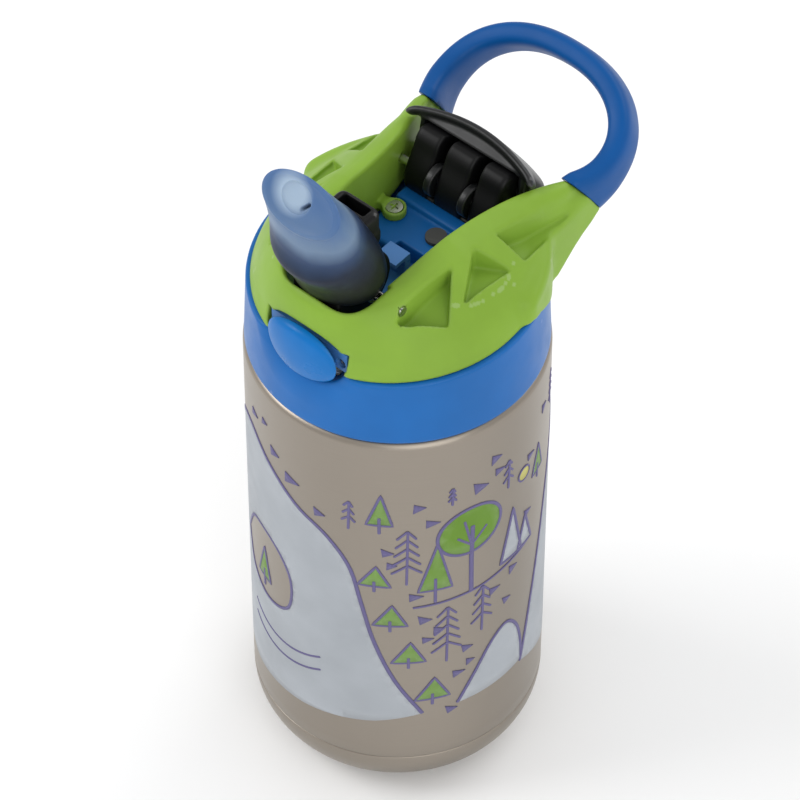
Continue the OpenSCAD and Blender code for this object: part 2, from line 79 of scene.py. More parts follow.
BODY_R = steel_hi[0]
STEEL_T = 0.6
SHOULDER_Z = 136.0
NECK_TOP = steel_hi[2]
WELD_Z = box_mm("base_cap")[1][2]
RING_FOOT_Z = collar_lo[2]
RING_H = 25.0
RING_R = collar_hi[0]
RING_TAPER = 1.1                # how much narrower the ring is at its top
TOP_R = RING_R - RING_TAPER
SHELL_R = TOP_R - 0.1
SEAM_Z = 157.0                  # line between ring and shell, above the axis
SEAM_RISE = 0.06                # how much that line climbs for each mm to the rear
DECK_Z = 160.0
DECK_HALF = 13.2
REAR_DECK_Z = box_mm("hinge_block")[0][2]
WELL_Z = 154.5
WELL_R = 33.2
PORT_Y = -17.0                  # place of the spout's port, on the middle plane
SCREW_X, SCREW_Y = 10.2, 10.7   # places of the two screws, one on each side
BUTTON_Z = 157.6
BUTTON_BULGE = 1.1
CUT_TILT = math.radians(32.3)
CUT = (0.0, math.cos(CUT_TILT), math.sin(CUT_TILT))     # normal of the faces between arms and loop
CUT_AT = 122.0


# ---------------------------------------------------------------- level sets

def smax(a, b, k):
    """Larger of two distances with a rounding of about k."""
    h = np.maximum(k - np.abs(a - b), 0.0) / k
    return np.maximum(a, b) + h * h * k * 0.25


def smin(a, b, k):
    """Smaller of two distances with a rounding of about k."""
    return -smax(-a, -b, k)


def slab(p, lo, hi):
    """Distance to the stretch from lo to hi along one axis."""
    return np.abs(p - (lo + hi) / 2) - (hi - lo) / 2


def block(x, y, z, lo, hi, k):
    """Rounded box between two corners."""
    return smax(smax(slab(x, lo[0], hi[0]), slab(y, lo[1], hi[1]), k), slab(z, lo[2], hi[2]), k)


def disc(a, b, ca, cb, r):
    """Distance to a round bar of radius r about the point (ca, cb)."""
    return np.sqrt((a - ca) ** 2 + (b - cb) ** 2) - r


def bar(y, z, pivot, r):
    """Distance to a round bar of radius r along X through a pivot."""
    return disc(y, z, pivot[1], pivot[2], r)


def new_object(name, points_mm, faces):
    """Smooth-shaded mesh object of points in millimetres."""
    mesh = bpy.data.meshes.new(name)
    mesh.from_pydata((np.asarray(points_mm) * MM).tolist(), [], [tuple(face) for face in faces])
    mesh.polygons.foreach_set("use_smooth", np.ones(len(mesh.polygons), bool))
    mesh.update()
    piece = bpy.data.objects.new(name, mesh)
    bpy.context.scene.collection.objects.link(piece)
    return piece


def grid_crossings(values, axis):
    """Grid edges along one axis that the surface crosses, as index rows."""
    inside = values < 0
    a = inside.take(range(values.shape[axis] - 1), axis)
    b = inside.take(range(1, values.shape[axis]), axis)
    return np.argwhere(a != b)


def surface_of(field, lo, hi, step):
    """Points and quads of the level set field = 0 between lo and hi (surface nets)."""
    lo = np.asarray(lo, float) - 2 * step
    counts = np.ceil((np.asarray(hi, float) + 2 * step - lo) / step).astype(int) + 1
    axes = [(lo[i] + step * np.arange(counts[i])).astype(np.float32) for i in range(3)]
    x, y, z = np.meshgrid(*axes, indexing="ij", sparse=True)
    values = np.array(np.broadcast_to(field(x, y, z), counts), dtype=np.float32)
    cells, hits, quads = [], [], []
    for axis in range(3):
        at = grid_crossings(values, axis)
        ahead = at.copy()
        ahead[:, axis] += 1
        a, b = values[tuple(at.T)], values[tuple(ahead.T)]
        hit = at.astype(float)
        hit[:, axis] += a / (a - b)
        u, v = (axis + 1) % 3, (axis + 2) % 3
        ring = []
        for du, dv in ((0, 0), (-1, 0), (-1, -1), (0, -1)):
            cell = at.copy()
            cell[:, u] += du
            cell[:, v] += dv
            ring.append(np.ravel_multi_index(tuple(cell.T), counts))
        ring = np.stack(ring, 1)
        ring[b < 0] = ring[b < 0][:, ::-1]
        quads.append(ring)
        cells.append(ring.ravel())
        hits.append(np.repeat(hit, 4, 0))
    cells, hits, quads = np.concatenate(cells), np.concatenate(hits), np.concatenate(quads)
    used, place = np.unique(cells, return_inverse=True)
    number = np.bincount(place)
    points = np.stack([np.bincount(place, hits[:, i]) / number for i in range(3)], 1)
    points = lo + step * points
    return settle(field, points, step), np.searchsorted(used, quads).tolist()


def settle(field, points, step):
    """Moves points onto the level set along its gradient."""
    reach = 0.02
    for _ in range(3):
        value = field(*points.T)
        slope = np.stack([(field(*(points + reach * e).T) - field(*(points - reach * e).T)) / (2 * reach)
                          for e in np.eye(3)], 1)
        move = -value[:, None] * slope / np.maximum((slope ** 2).sum(1), 0.2)[:, None]
        length = np.linalg.norm(move, axis=1, keepdims=True)
        points = points + move * np.minimum(1.0, 0.4 * step / np.maximum(length, 1e-9))
    return points


def level_piece(name, field, lo, hi, step):
    """Object of a level set between two corners."""
    return new_object(name, *surface_of(field, lo, hi, step))


# ---------------------------------------------------------------- green shell of the lid

def seam_height(y):
    """Height of the line between ring and shell."""
    return SEAM_Z + SEAM_RISE * y


def ring_radius(z):
    """Outer radius of the ring, which narrows upward."""
    return RING_R - RING_TAPER * np.clip((z - RING_FOOT_Z) / RING_H, 0.0, 1.0)


def ridge_half(y):
    """Half width of the opening between the arms."""
    t = np.minimum(y / 30.0, 1.2)
    return np.where(t < 0, 13.8 + 2.6 * t, 13.8 + 0.5 * t + 4.4 * t * t)


def ridge_top(y):
    """Height of the ridge round the opening."""
    t = y / 30.0
    return np.where(t < 0, 177.6 + 2.2 * t - 1.6 * t * t, 177.6 - 2.5 * t + 0.8 * t * t - 1.8 * t ** 3)


def opening(x, y):
    """Distance outside the opening between the arms, seen from above."""
    return smax(np.abs(x) - ridge_half(y), -29.0 - y, 7.0)


ARM_FOOT_X = 23.8               # outer side of the arms, behind the ring


def shell_outside(x, y, z):
    """Dome that rises from the ring to the ridge; behind the middle it runs out into the arms."""
    r = np.sqrt(x * x + y * y) + 1e-6
    front = np.clip(-y / r, 0.0, 1.0)
    s = np.where(y < 0, r, np.abs(x))
    round_foot = np.sqrt(np.maximum(SHELL_R ** 2 - y * y, 0.0))
    foot = np.where(y < 0, SHELL_R, np.maximum(round_foot, ARM_FOOT_X))
    crest = np.where(y < 0, 17.6 + 14.0 * front ** 2.1, ridge_half(y) + 3.8)
    crest = np.minimum(crest, foot - 0.3)
    top = ridge_top(np.where(y < 0, -crest * front, y))
    low = seam_height(y) + 3.0 + 5.0 * front ** 4
    across, rise = foot - crest, top - 0.8 - low
    length = np.sqrt(across ** 2 + rise ** 2)
    slope = ((s - foot) * rise + (z - low) * across) / length
    along = np.clip(((foot - s) * across + (z - low) * rise) / length ** 2, 0.0, 1.0)
    slope = slope - 3.2 * along * (1 - along)
    wall = smax(s - foot, slope, np.interp(y, [15.0, 30.0], [6.0, 1.2]))
    return smax(wall, z - top, 2.5)


# Plan of the three pockets in the side of an arm: corners (x, y) on the slope.
POCKETS = (
    ((18.0, -20.4), (19.5, -4.0), (26.2, -13.0), (18.9, -22.4)),
    ((19.6, 3.5), (26.8, 8.4), (25.7, -7.2)),
    ((20.1, 10.6), (22.6, 25.7), (24.7, 32.5), (26.8, 13.2)),
)
POCKET_FLOOR_Z = 166.0          # the pockets stay above this height


def polygon_distance(x, y, corners, k):
    """Rounded distance to a convex polygon whose corners run clockwise or anticlockwise."""
    corners = np.array(corners)
    middle = corners.mean(0)
    total = None
    for a, b in zip(corners, np.roll(corners, -1, 0)):
        normal = np.array([b[1] - a[1], a[0] - b[0]]) / np.hypot(*(b - a))
        if normal @ (middle - a) > 0:
            normal = -normal
        side = (x - a[0]) * normal[0] + (y - a[1]) * normal[1]
        total = side if total is None else smax(total, side, k)
    return total


def pockets(x, y, z, outside):
    """Triangular recesses of the arms, deep under the ridge and running out below."""
    ax = np.abs(x)
    cuts = []
    for corners in POCKETS:
        xs = [c[0] for c in corners]
        depth = 0.9 + 4.4 * np.clip((max(xs) - ax) / (max(xs) - min(xs)), 0.0, 1.0)
        cuts.append(smax(polygon_distance(ax, y, corners, 1.0), -outside - depth, 0.7))
    return smax(np.minimum.reduce(cuts), POCKET_FLOOR_Z - z, 0.7)


def button_shape(x, z, grow):
    """Rounded lens of the release button, seen from the front."""
    half_w, low, high = 11.1, 7.7, 7.6
    dz = z - BUTTON_Z
    half_h = np.where(dz < 0, low, high)
    q = ((np.abs(x) / half_w) ** 2.1 + (np.abs(dz) / half_h) ** 2.1 + 1e-9) ** (1 / 2.1)
    return (q - 1.0) * 7.6 - grow


# Lower edge of the shell's side, which dips over the ring below each arm: places y and heights z.
WEB_EDGE = (
    (3, 7, 11, 15, 19, 22, 25, 28, 31, 34, 37, 40, 43, 46),
    (150, 156.4, 155.8, 153.6, 150.8, 148.6, 147.6, 148.4, 150.9, 153.3, 155.3, 156.8, 158.9, 161))
WEB_HALF = 25.5                 # outer side of the fin
SKIRT_R = 35.7                  # radius of the skirt, just outside the ring


def web_field(x, y, z):
    """Web below each arm: a skirt over the side of the ring, then a fin that runs to the loop."""
    ax = np.abs(x)
    fin = smax(slab(ax, 20.4, WEB_HALF), 22.0 - y, 1.0)
    skirt = smax(smax(np.sqrt(x * x + y * y) - SKIRT_R, 19.0 - ax, 1.0), 6.0 - y, 3.0)
    return smax(smin(fin, skirt, 1.5), z - 163.0 - 0.14 * y, 3.0)


def shell_field(x, y, z):
    """Green shell: dome and arms round the opening, hollow below, seated on the ring and the decks."""
    outside = shell_outside(x, y, z)
    r = np.sqrt(x * x + y * y)
    hole = opening(x, y)
    chamfer = hole - 1.6 + 0.6 * np.maximum(ridge_top(y) - z, 0.0)
    body = smin(outside, web_field(x, y, z), 3.0)
    body = smax(body, np.interp(y, *WEB_EDGE) - z, 2.4)
    body = smax(body, -hole, 1.3)
    body = smax(body, -np.where(y < -18, chamfer, 9.0), 0.8)
    cavity = smax(smax(outside + 6.5, 2.2 - hole, 1.0), y - 24.0, 1.0)
    body = smax(body, -cavity, 0.8)
    # the rear ends of the arms, where the loop begins
    body = smax(body, y * CUT[1] + z * CUT[2] - CUT_AT, 0.5)
    # low wall between the arms, behind the hinge block
    rear = block(r, y, z, (SHELL_R - 1.6, 27.0, 150.0), (SHELL_R, 60.0, 163.0), 0.8)
    rear = smax(rear, np.abs(x) - 21.5, 0.5)
    body = smin(body, rear, 0.8)
    # bosses of the two screws, joined to the inside of the arms
    for side in (-1, 1):
        cx, cy = side * SCREW_X, SCREW_Y
        boss = smax(disc(x, y, cx, cy, 2.9), slab(z, DECK_Z, DECK_Z + 2.4), 0.5)
        bridge = block(np.abs(x), y, z, (SCREW_X, cy - 1.3, DECK_Z), (15.5, cy + 1.3, 162.2), 0.5)
        body = smin(body, smin(boss, bridge, 0.8), 0.7)
        body = smax(body, -disc(x, y, cx, cy, 1.25), 0.2)
        body = smax(body, -smax(disc(x, y, cx, cy, 2.2), DECK_Z + 1.0 - z, 0.2), 0.25)
    body = smax(body, -pockets(x, y, z, outside), 0.7)
    # pivot holes of the spout, one of which shows in the front pocket, and of the cover
    body = smax(body, -bar(y, z, spout_pivot, 1.3), 0.3)
    mouth = smax(bar(y, z, spout_pivot, 2.6), 18.6 - np.abs(x), 0.3)
    body = smax(body, -mouth, 0.5)
    cover_hole = smax(bar(y, z, cover_pivot, 1.05), np.abs(x) - 18.5, 0.2)
    body = smax(body, -cover_hole, 0.2)
    # room of the button and of the slide behind it
    room = smax(button_shape(x, z, 0.35), y + 22.0, 0.4)
    slide = block(x, y, z, (-12.0, -31.8, 140.0), (12.0, -22.0, 161.8), 0.6)
    body = smax(body, -np.minimum(room, slide), 0.7)
    # seat on the ring and the decks; the webs of the arms hang down outside the ring
    over_deck = smax(slab(x, -13.3, 13.3), slab(y, 2.0, 22.0), 0.3)
    floor = np.minimum(seam_height(y) + 0.05 - z, np.maximum(over_deck, DECK_Z - z))
    floor = np.minimum(floor, ring_radius(z) + 0.06 - r)
    return smax(body, floor, 0.7)


# ---------------------------------------------------------------- collar and button

def collar_field(x, y, z):
    """Ring with a dish round the button's lower half, the well, the decks and the spout's port."""
    r = np.sqrt(x * x + y * y)
    under = np.clip((BUTTON_Z - 6.0 - z) / 8.0, 0.0, 1.0)
    reach = 3.6 + 3.2 * under
    dish = 1.7 * np.clip(1.0 - button_shape(x, z, 0.0) / reach, 0.0, 1.0) ** 1.6
    dish = np.where(y < 0, dish, 0.0)
    ring = smax(smax(r - ring_radius(z) + dish, RING_FOOT_Z - z, 0.8), z - seam_height(y), 0.7)
    ring = smax(ring, -smax(r - 31.6, z - 151.5, 0.6), 0.4)
    ring = smax(ring, -smax(r - WELL_R, WELL_Z - z, 1.2), 0.6)
    front_deck = block(x, y, z, (-DECK_HALF, 2.0, 150.0), (DECK_HALF, 15.0, DECK_Z), 1.3)
    rear_deck = block(x, y, z, (-DECK_HALF, 14.4, 150.0), (DECK_HALF, 40.0, REAR_DECK_Z), 1.0)
    rear_deck = smax(rear_deck, r - WELL_R - 0.1, 0.4)
    body = smin(ring, smin(front_deck, rear_deck, 0.8), 0.8)
    port = smax(disc(x, y, 0.0, PORT_Y, 5.0), slab(z, 147.5, 158.6), 0.7)
    body = smin(body, port, 1.0)
    for side in (-1, 1):
        post = block(x, y, z, (side * 9.6 - 1.4, -24.6, 153.0), (side * 9.6 + 1.4, -23.0, 159.5), 0.5)
        body = smin(body, post, 0.5)
        body = smax(body, -smax(disc(x, y, side * SCREW_X, SCREW_Y, 1.1), 154.0 - z, 0.2), 0.2)
    body = smax(body, -disc(x, y, 0.0, PORT_Y, 3.2), 0.4)
    body = smax(body, -disc(x, y, 2.5, 10.8, 1.5), 0.2)
    body = smax(body, -block(x, y, z, (-3.6, -9.0, WELL_Z), (3.6, 5.0, 170.0), 0.4), 0.4)
    room = smax(smax(button_shape(x, z, 0.3), y + 27.0, 0.4), 150.0 - z, 0.2)
    return smax(body, -room, 0.5)


def button_field(x, y, z):
    """Crowned lens that stands out of the ring, with a soft rolled edge."""
    r = np.sqrt(x * x + y * y)
    rim = np.clip(1.0 + button_shape(x, z, 0.0) / 7.6, 0.0, 1.2)
    crown = TOP_R + BUTTON_BULGE - 0.9 * rim ** 2.4
    return smax(smax(button_shape(x, z, 0.0), r - crown, 1.6), y + 33.3, 0.5)


# ---------------------------------------------------------------- spout

# Sections of the mouthpiece: distance from the pivot along its axis, shift to the rear, tilt in
# degrees, half width and half depth. The last one is the slanted face.
SPOUT_LEAN = math.radians(21)
SECTIONS = np.array([
    (2.6, -0.4, -14.0, 11.9, 9.3), (6.8, 0.1, -20.0, 12.9, 10.2), (12.6, -0.1, -10.0, 12.9, 10.2),
    (18.8, -0.8, 2.6, 12.4, 9.8), (24.2, -0.5, 12.5, 12.0, 8.1), (30.1, -0.5, 29.0, 11.4, 7.3),
    (35.9, -0.5, 42.6, 11.2, 6.9)])


def spout_frame(v, w):
    """Row frame (y, z) of a point v to the rear of the spout's axis and w along it."""
    c, s = math.cos(SPOUT_LEAN), math.sin(SPOUT_LEAN)
    return spout_pivot[1] + v * c - w * s, spout_pivot[2] + v * s + w * c


def smooth_rows(rows, n):
    """n rows along a Catmull-Rom curve through the given ones."""
    padded = np.vstack([2 * rows[0] - rows[1], rows, 2 * rows[-1] - rows[-2]])
    out = []
    for u in np.linspace(0, len(rows) - 1, n):
        i = min(int(u), len(rows) - 2)
        t = u - i
        a, b, c, d = padded[i:i + 4]
        out.append(0.5 * (2 * b + (c - a) * t + (2 * a - 5 * b + 4 * c - d) * t ** 2
                          + (3 * b - a - 3 * c + d) * t ** 3))
    return np.array(out)


def loft(name, rings):
    """Closed mesh through rings of equal length; each end closes on its own middle."""
    n = len(rings[0])
    points = np.vstack([np.vstack(rings), rings[0].mean(0), rings[-1].mean(0)])
    faces = []
    for j in range(len(rings) - 1):
        for i in range(n):
            k = (i + 1) % n
            faces.append((j * n + i, j * n + k, (j + 1) * n + k, (j + 1) * n + i))
    first, last = len(points) - 2, len(points) - 1
    top = (len(rings) - 1) * n
    faces += [((i + 1) % n, i, first) for i in range(n)]
    faces += [(top + i, top + (i + 1) % n, last) for i in range(n)]
    return new_object(name, points, faces)


def mouthpiece():
    """Soft spout: a bulb over the drum, a neck and a slanted lip with a dimple and a slit."""
    around = np.linspace(0, 2 * math.pi, 192, endpoint=False)
    rings = []

    def ring(section, scale=1.0, lift=None):
        w, mid, tilt, half_x, half_v = section
        tilt = math.radians(tilt)
        x = half_x * scale * np.cos(around)
        d = half_v * scale * np.sin(around)
        up = np.zeros_like(x) if lift is None else lift(x, d)
        v = mid + d * math.cos(tilt) - up * math.sin(tilt)
        y, z = spout_frame(v, w + d * math.sin(tilt) + up * math.cos(tilt))
        return np.stack([x, y, z], 1)

    first, last = SECTIONS[0], SECTIONS[-1]
    for scale in np.linspace(0.7, 0.97, 6):
        rings.append(ring(first, scale, lambda x, d: np.full_like(x, -0.3)))
    rings += [ring(row) for row in smooth_rows(SECTIONS, 70)]

    def face(x, d):
        """Height of the slanted face: rolled lip, gentle hollow, dimple and slit."""
        rho = np.sqrt((x / last[3]) ** 2 + (d / last[4]) ** 2)
        lip = 0.55 * np.sqrt(np.clip(1 - ((rho - 0.86) / 0.14) ** 2, 0, 1)) * (rho > 0.86)
        lip = np.where(rho <= 0.86, 0.55 * np.clip((rho - 0.55) / 0.31, 0, 1) ** 2, lip)
        dimple = np.clip(1 - ((x + 1.6) / 4.2) ** 2 - ((d - 0.9) / 3.8) ** 2, 0, 1)
        along = (x - 0.9) * 0.62 + (d + 0.4) * 0.78
        across = (x - 0.9) * 0.78 - (d + 0.4) * 0.62
        slit = np.exp(-(along / 1.5) ** 6 - (across / 0.36) ** 2)
        return lip - 1.2 * np.sqrt(dimple) - 2.2 * slit

    for scale in np.concatenate([np.cos(np.linspace(0.08, 0.5, 8)), np.linspace(0.86, 0.02, 90)]):
        rings.append(ring(last, scale, face))
    return loft("mouthpiece", rings)


def lip_point(x, d):
    """Place on the slanted face, d along its slope."""
    w, mid, tilt = SECTIONS[-1][:3]
    tilt = math.radians(tilt)
    return (x, *spout_frame(mid + d * math.cos(tilt), w + d * math.sin(tilt)))


def core_field(x, y, z):
    """Black carrier of the mouthpiece: drum, stem and the catch box behind it."""
    drum = smax(bar(y, z, spout_pivot, 9.1), np.abs(x) - 7.0, 0.8)
    c, s = math.cos(SPOUT_LEAN), math.sin(SPOUT_LEAN)
    v = (y - spout_pivot[1]) * c + (z - spout_pivot[2]) * s
    w = (z - spout_pivot[2]) * c - (y - spout_pivot[1]) * s
    stem = smax(np.sqrt(x * x + v * v) - 6.6, slab(w, 0.0, 16.0), 0.6)
    box = block(x, y, z, (-5.9, -21.0, 180.6), (5.9, -12.2, 190.7), 2.0)
    web = block(x, y, z, (-5.6, -17.4, 173.0), (5.6, -12.8, 184.0), 0.8)
    body = smin(smin(drum, stem, 0.8), smin(box, web, 1.2), 0.6)
    body = smax(body, -block(x, y, z, (-3.9, -16.4, 184.6), (3.9, -13.5, 200.0), 0.7), 0.7)
    body = smax(body, -smax(bar(y, z, spout_pivot, 1.3), 4.3 - np.abs(x), 0.2), 0.3)
    return smax(body, -(np.sqrt(x * x + v * v) - 3.0), 0.4)


# ---------------------------------------------------------------- cover

COVER_SLOPE = math.radians(56.6)
COVER_LEN = 15.2
COVER_ARM_X = 5.1               # middle of each arm of the cover
HINGE_R = 11.1                  # radius of the hinge block about the cover's pivot
LIP = (25.5, 179.0)             # lip corner of the open cover, (y, z)


def cover_frame(y, z):
    """Distance behind the lip along the cover, and height above its plane."""
    dy, dz = y - LIP[0], z - LIP[1]
    c, s = math.cos(COVER_SLOPE), math.sin(COVER_SLOPE)
    return dy * c - dz * s, dy * s + dz * c


def hood_field(x, y, z):
    """Flip cover: arched plate with side walls, and two arms down to its pivot."""
    s, n = cover_frame(y, z)
    ax = np.abs(x)
    half = np.interp(s, [3.2, 6.0], [19.5, 16.2])
    arch = 4.5 - 4.5 * (ax / 19.5) ** 2
    top = smax(n - arch, ax - half, 3.0)
    hollow = smax(n - arch + 2.0, ax - half + 1.7, 2.0)
    low = np.interp(s, [2.6, 4.6, 6.0, 9.0], [-1.7, -0.3, -1.5, -4.5])
    body = smax(smax(top, -hollow, 0.7), low - n, 1.0)
    cheek = polygon_distance(s, n, ((0.6, 1.0), (7.4, -5.3), (15.1, -5.3), (15.1, 1.0)), 1.4)
    cheek = smax(cheek, slab(ax, 13.9, 15.7), 1.0)
    # web between plate and hinge block, round the pivot
    reach = bar(y, z, cover_pivot, HINGE_R + 0.3)
    web = smax(smax(-reach, slab(s, 1.6, 14.6), 0.8), smax(ax - 15.0, n - arch + 0.5, 0.8), 0.8)
    body = smin(body, smin(cheek, web, 1.0), 0.8)
    body = smax(body, smax(-s, s - COVER_LEN, 1.0), 1.5)
    for side in (-1, 1):
        arm = smax(gooseneck(y, z), np.abs(x - side * COVER_ARM_X) - 1.0, 0.4)
        body = smin(body, smax(arm, n - arch + 1.0, 0.4), 0.8)
    return smax(body, -bar(y, z, cover_pivot, 1.05), 0.2)


def gooseneck(y, z):
    """Side outline of the two arms that carry the cover, clear of the folded spout."""
    eye = bar(y, z, cover_pivot, 4.2)
    lower = polygon_distance(y, z, ((20.5, 169.4), (24.5, 167.6), (25.0, 163.9), (21.0, 165.3)), 0.4)
    middle = polygon_distance(y, z, ((24.3, 167.6), (28.3, 171.3), (30.0, 166.8), (24.9, 163.9)), 0.4)
    upper = polygon_distance(y, z, ((28.1, 171.2), (32.4, 174.4), (35.6, 169.0), (29.9, 166.8)), 0.4)
    return smin(smin(eye, lower, 1.0), smin(middle, upper, 0.6), 0.6)


def block_field(x, y, z):
    """Hinge block: a drum that reaches up under the cover, with a slot for each arm of the cover."""
    drum = disc(y, z, 25.5, 164.5, 8.2)
    foot = block(x, y, z, (-20.0, 21.5, 150.0), (20.0, 33.0, 167.0), 0.8)
    neck = ((17.6, 162.5), (18.3, 168.0), (22.6, 177.6), (31.2, 177.6), (31.2, 160.0))
    body = smin(smin(drum, foot, 0.6), polygon_distance(y, z, neck, 3.0), 2.0)
    body = smax(body, bar(y, z, cover_pivot, HINGE_R), 1.0)
    body = smax(smax(body, np.abs(x) - 13.4, 1.4), REAR_DECK_Z + 0.01 - z, 0.2)
    for side in (-1, 1):
        slot = smax(np.abs(x - side * COVER_ARM_X) - 1.2, REAR_DECK_Z + 1.0 - z, 0.3)
        body = smax(body, -slot, 0.9)
    return smax(body, -bar(y, z, cover_pivot, 1.0), 0.2)


# ---------------------------------------------------------------- carry loop

LOOP_HALF = 24.2
ROOT_HALF = 21.6
LOOP_T = 5.85
LOOP_W = 10.4
ROOT_WIDER = 7.0
ROOT_Y, ROOT_Z = 39.6, 165.6
LOOP_RUN = 24.0                 # how far the crest lies behind the root
LOOP_CLIMB, LOOP_CURL = 8.6, 4.9
BOW = 2.27                      # power of the bow's outline; 2 would be an ellipse
BOW_FROM = 0.31                 # share of the run where the straight sides turn into the bow
SIDE_START = 0.06


def loop_line(a):
    """Middle line of the loop for the angle a, in degrees, from the root at -30 to the crest at 90."""
    side, bow = BOW_FROM + SIDE_START, 1 - BOW_FROM
    if a < 0:
        s = BOW_FROM + side * a / 30
        x = ROOT_HALF + (LOOP_HALF - ROOT_HALF) * math.sin(math.pi / 2 * (s + SIDE_START) / side)
    else:
        s = min(1.0, BOW_FROM + bow * math.sin(math.radians(a)) ** (2 / BOW))
        x = LOOP_HALF * max(0.0, 1 - ((s - BOW_FROM) / bow) ** BOW) ** (1 / BOW)
    return np.array([x, ROOT_Y + LOOP_RUN * s, ROOT_Z + LOOP_CLIMB * s + LOOP_CURL * s * s])


def carry_loop():
    """Flattened bar along the loop's line, wider at its roots and cut where it meets the arms."""
    half = [loop_line(a) for a in np.concatenate([np.arange(-30, 0, 1.5), np.arange(0, 90, 1.5)])]
    start = half[0] + (-0.4, -6.0, -2.2)
    right = [start] + half
    mirror = np.array([-1, 1, 1])
    line = np.array(right + [loop_line(90)] + [p * mirror for p in right[::-1]])
    around = np.linspace(0, 2 * math.pi, 40, endpoint=False)
    c, s = np.cos(around), np.sin(around)
    wide = np.sign(c) * np.abs(c) ** 0.62
    thick = np.sign(s) * np.abs(s) ** 0.62
    rings = []
    for i, p in enumerate(line):
        d = line[min(i + 1, len(line) - 1)] - line[max(i - 1, 0)]
        along = np.clip((p[1] - ROOT_Y) / LOOP_RUN, 0.0, 1.0)
        slope = math.atan2(LOOP_CLIMB + 2 * LOOP_CURL * along, LOOP_RUN)
        u = np.array([0.0, -math.sin(slope), math.cos(slope)])
        h = np.cross(u, d)
        h /= np.linalg.norm(h)
        w = LOOP_W + ROOT_WIDER * (1 - along) ** 3
        rings.append(p + np.outer(wide * w / 2, u) + np.outer(thick * LOOP_T / 2, h))
    piece = loft("carry_handle", rings)
    trim(piece, np.array(CUT) * (CUT_AT + 0.03), CUT)
    return piece


def trim(piece, at_mm, normal):
    """Cuts away what lies behind a plane and closes the mesh with a flat face."""
    shape = bmesh.new()
    shape.from_mesh(piece.data)
    everything = shape.verts[:] + shape.edges[:] + shape.faces[:]
    cut = bmesh.ops.bisect_plane(shape, geom=everything, plane_co=Vector(at_mm) * MM,
                                 plane_no=Vector(normal), clear_inner=True)
    edges = [e for e in cut["geom_cut"] if isinstance(e, bmesh.types.BMEdge)]
    caps = bmesh.ops.holes_fill(shape, edges=edges)["faces"]
    for face in caps:
        face.smooth = False
    shape.to_mesh(piece.data)
    shape.free()


# ---------------------------------------------------------------- steel body

def arc(r, z, radius, a0, a1, n=12):
    """Points (r, z) of a round stretch, angles in degrees."""
    return [(r + radius * math.cos(math.radians(a)), z + radius * math.sin(math.radians(a)))
            for a in np.linspace(a0, a1, n + 1)]


def lathe(name, profile, around=240):
    """Closed ring or cup turned from a closed outline (r, z)."""
    angles = np.linspace(0, 2 * math.pi, around, endpoint=False)
    profile = np.array(profile)
    n = len(profile)
    points = np.array([[(r * math.cos(a), r * math.sin(a), z) for r, z in profile] for a in angles])
    faces = []
    for j in range(around):
        here, ahead = j * n, (j + 1) % around * n
        faces += [(here + i, ahead + i, ahead + (i + 1) % n, here + (i + 1) % n) for i in range(n)]
    return new_object(name, points.reshape(-1, 3), faces)


def weld_edge(side):
    """Rounded edge at the weld, from the inner to the outer side; side is 1 above it and -1 below."""
    edge = ((STEEL_T, 0.05), (0.22, 0.05), (0.06, 0.11), (0.0, 0.3))
    return [(BODY_R - inward, WELD_Z + side * off) for inward, off in edge]


def steel_body():
    """Outer wall with shoulder, neck and rolled lip, open at the weld."""
    r, t, neck = BODY_R, STEEL_T, 30.0
    outline = weld_edge(1)
    outline += [(r, z) for z in np.linspace(WELD_Z + 4, SHOULDER_Z - 4, 24)]
    outline += arc(r - 2, SHOULDER_Z - 2, 2, 0, 90)
    outline += arc(neck + 0.7, SHOULDER_Z + 0.7, 0.7, 270, 180, 5)
    outline += arc(neck - 0.3, NECK_TOP - 0.3, 0.3, 0, 180, 8)
    outline += [(neck - t, SHOULDER_Z + 0.2), (neck + 0.2, SHOULDER_Z - t)]
    outline += arc(r - 2, SHOULDER_Z - 2, 2 - t, 90, 0, 8)
    body = lathe("steel_body", outline)
    join(body, neck_thread(neck))
    return body


def neck_thread(neck, pitch=4.0, turns=1.25):
    """Rolled screw ridge on the neck that swells and fades at its ends."""
    rings = []
    across = np.linspace(0, 2 * math.pi, 14, endpoint=False)
    for u in np.linspace(0, 1, 120):
        a = 2 * math.pi * turns * u
        grow = math.sin(math.pi * min(1.0, 12 * u, 12 * (1 - u)) / 2)
        r = neck - 0.1 + (0.05 + 1.25 * grow) * np.maximum(np.cos(across), -0.1)
        z = SHOULDER_Z + 4 + pitch * turns * u + (0.3 + 0.75 * grow) * np.sin(across)
        rings.append(np.stack([r * math.cos(a), r * math.sin(a), z], 1))
    return loft("neck_thread", rings)


def join(piece, *others):
    """Takes the meshes of other objects into one."""
    shape = bmesh.new()
    shape.from_mesh(piece.data)
    for other in others:
        shape.from_mesh(other.data)
        bpy.data.objects.remove(other)
    shape.to_mesh(piece.data)
    shape.free()


def steel_foot():
    """Pressed base cap with a rounded corner and a recess under it."""
    r, t, c = BODY_R, STEEL_T, 15.0
    outline = arc(r - c, c, c, 270, 360, 28)
    outline += weld_edge(-1)[::-1]
    outline += arc(r - c, c, c - t, 360, 270, 20)
    outline += [(21.0, t), (20.4, 1.22), (0.0, 1.22), (0.0, 0.62)]
    outline += [(19.8, 0.62), (20.0, 0.2), (20.3, 0.0)]
    return lathe("steel_foot", outline)


# ---------------------------------------------------------------- printed landscape

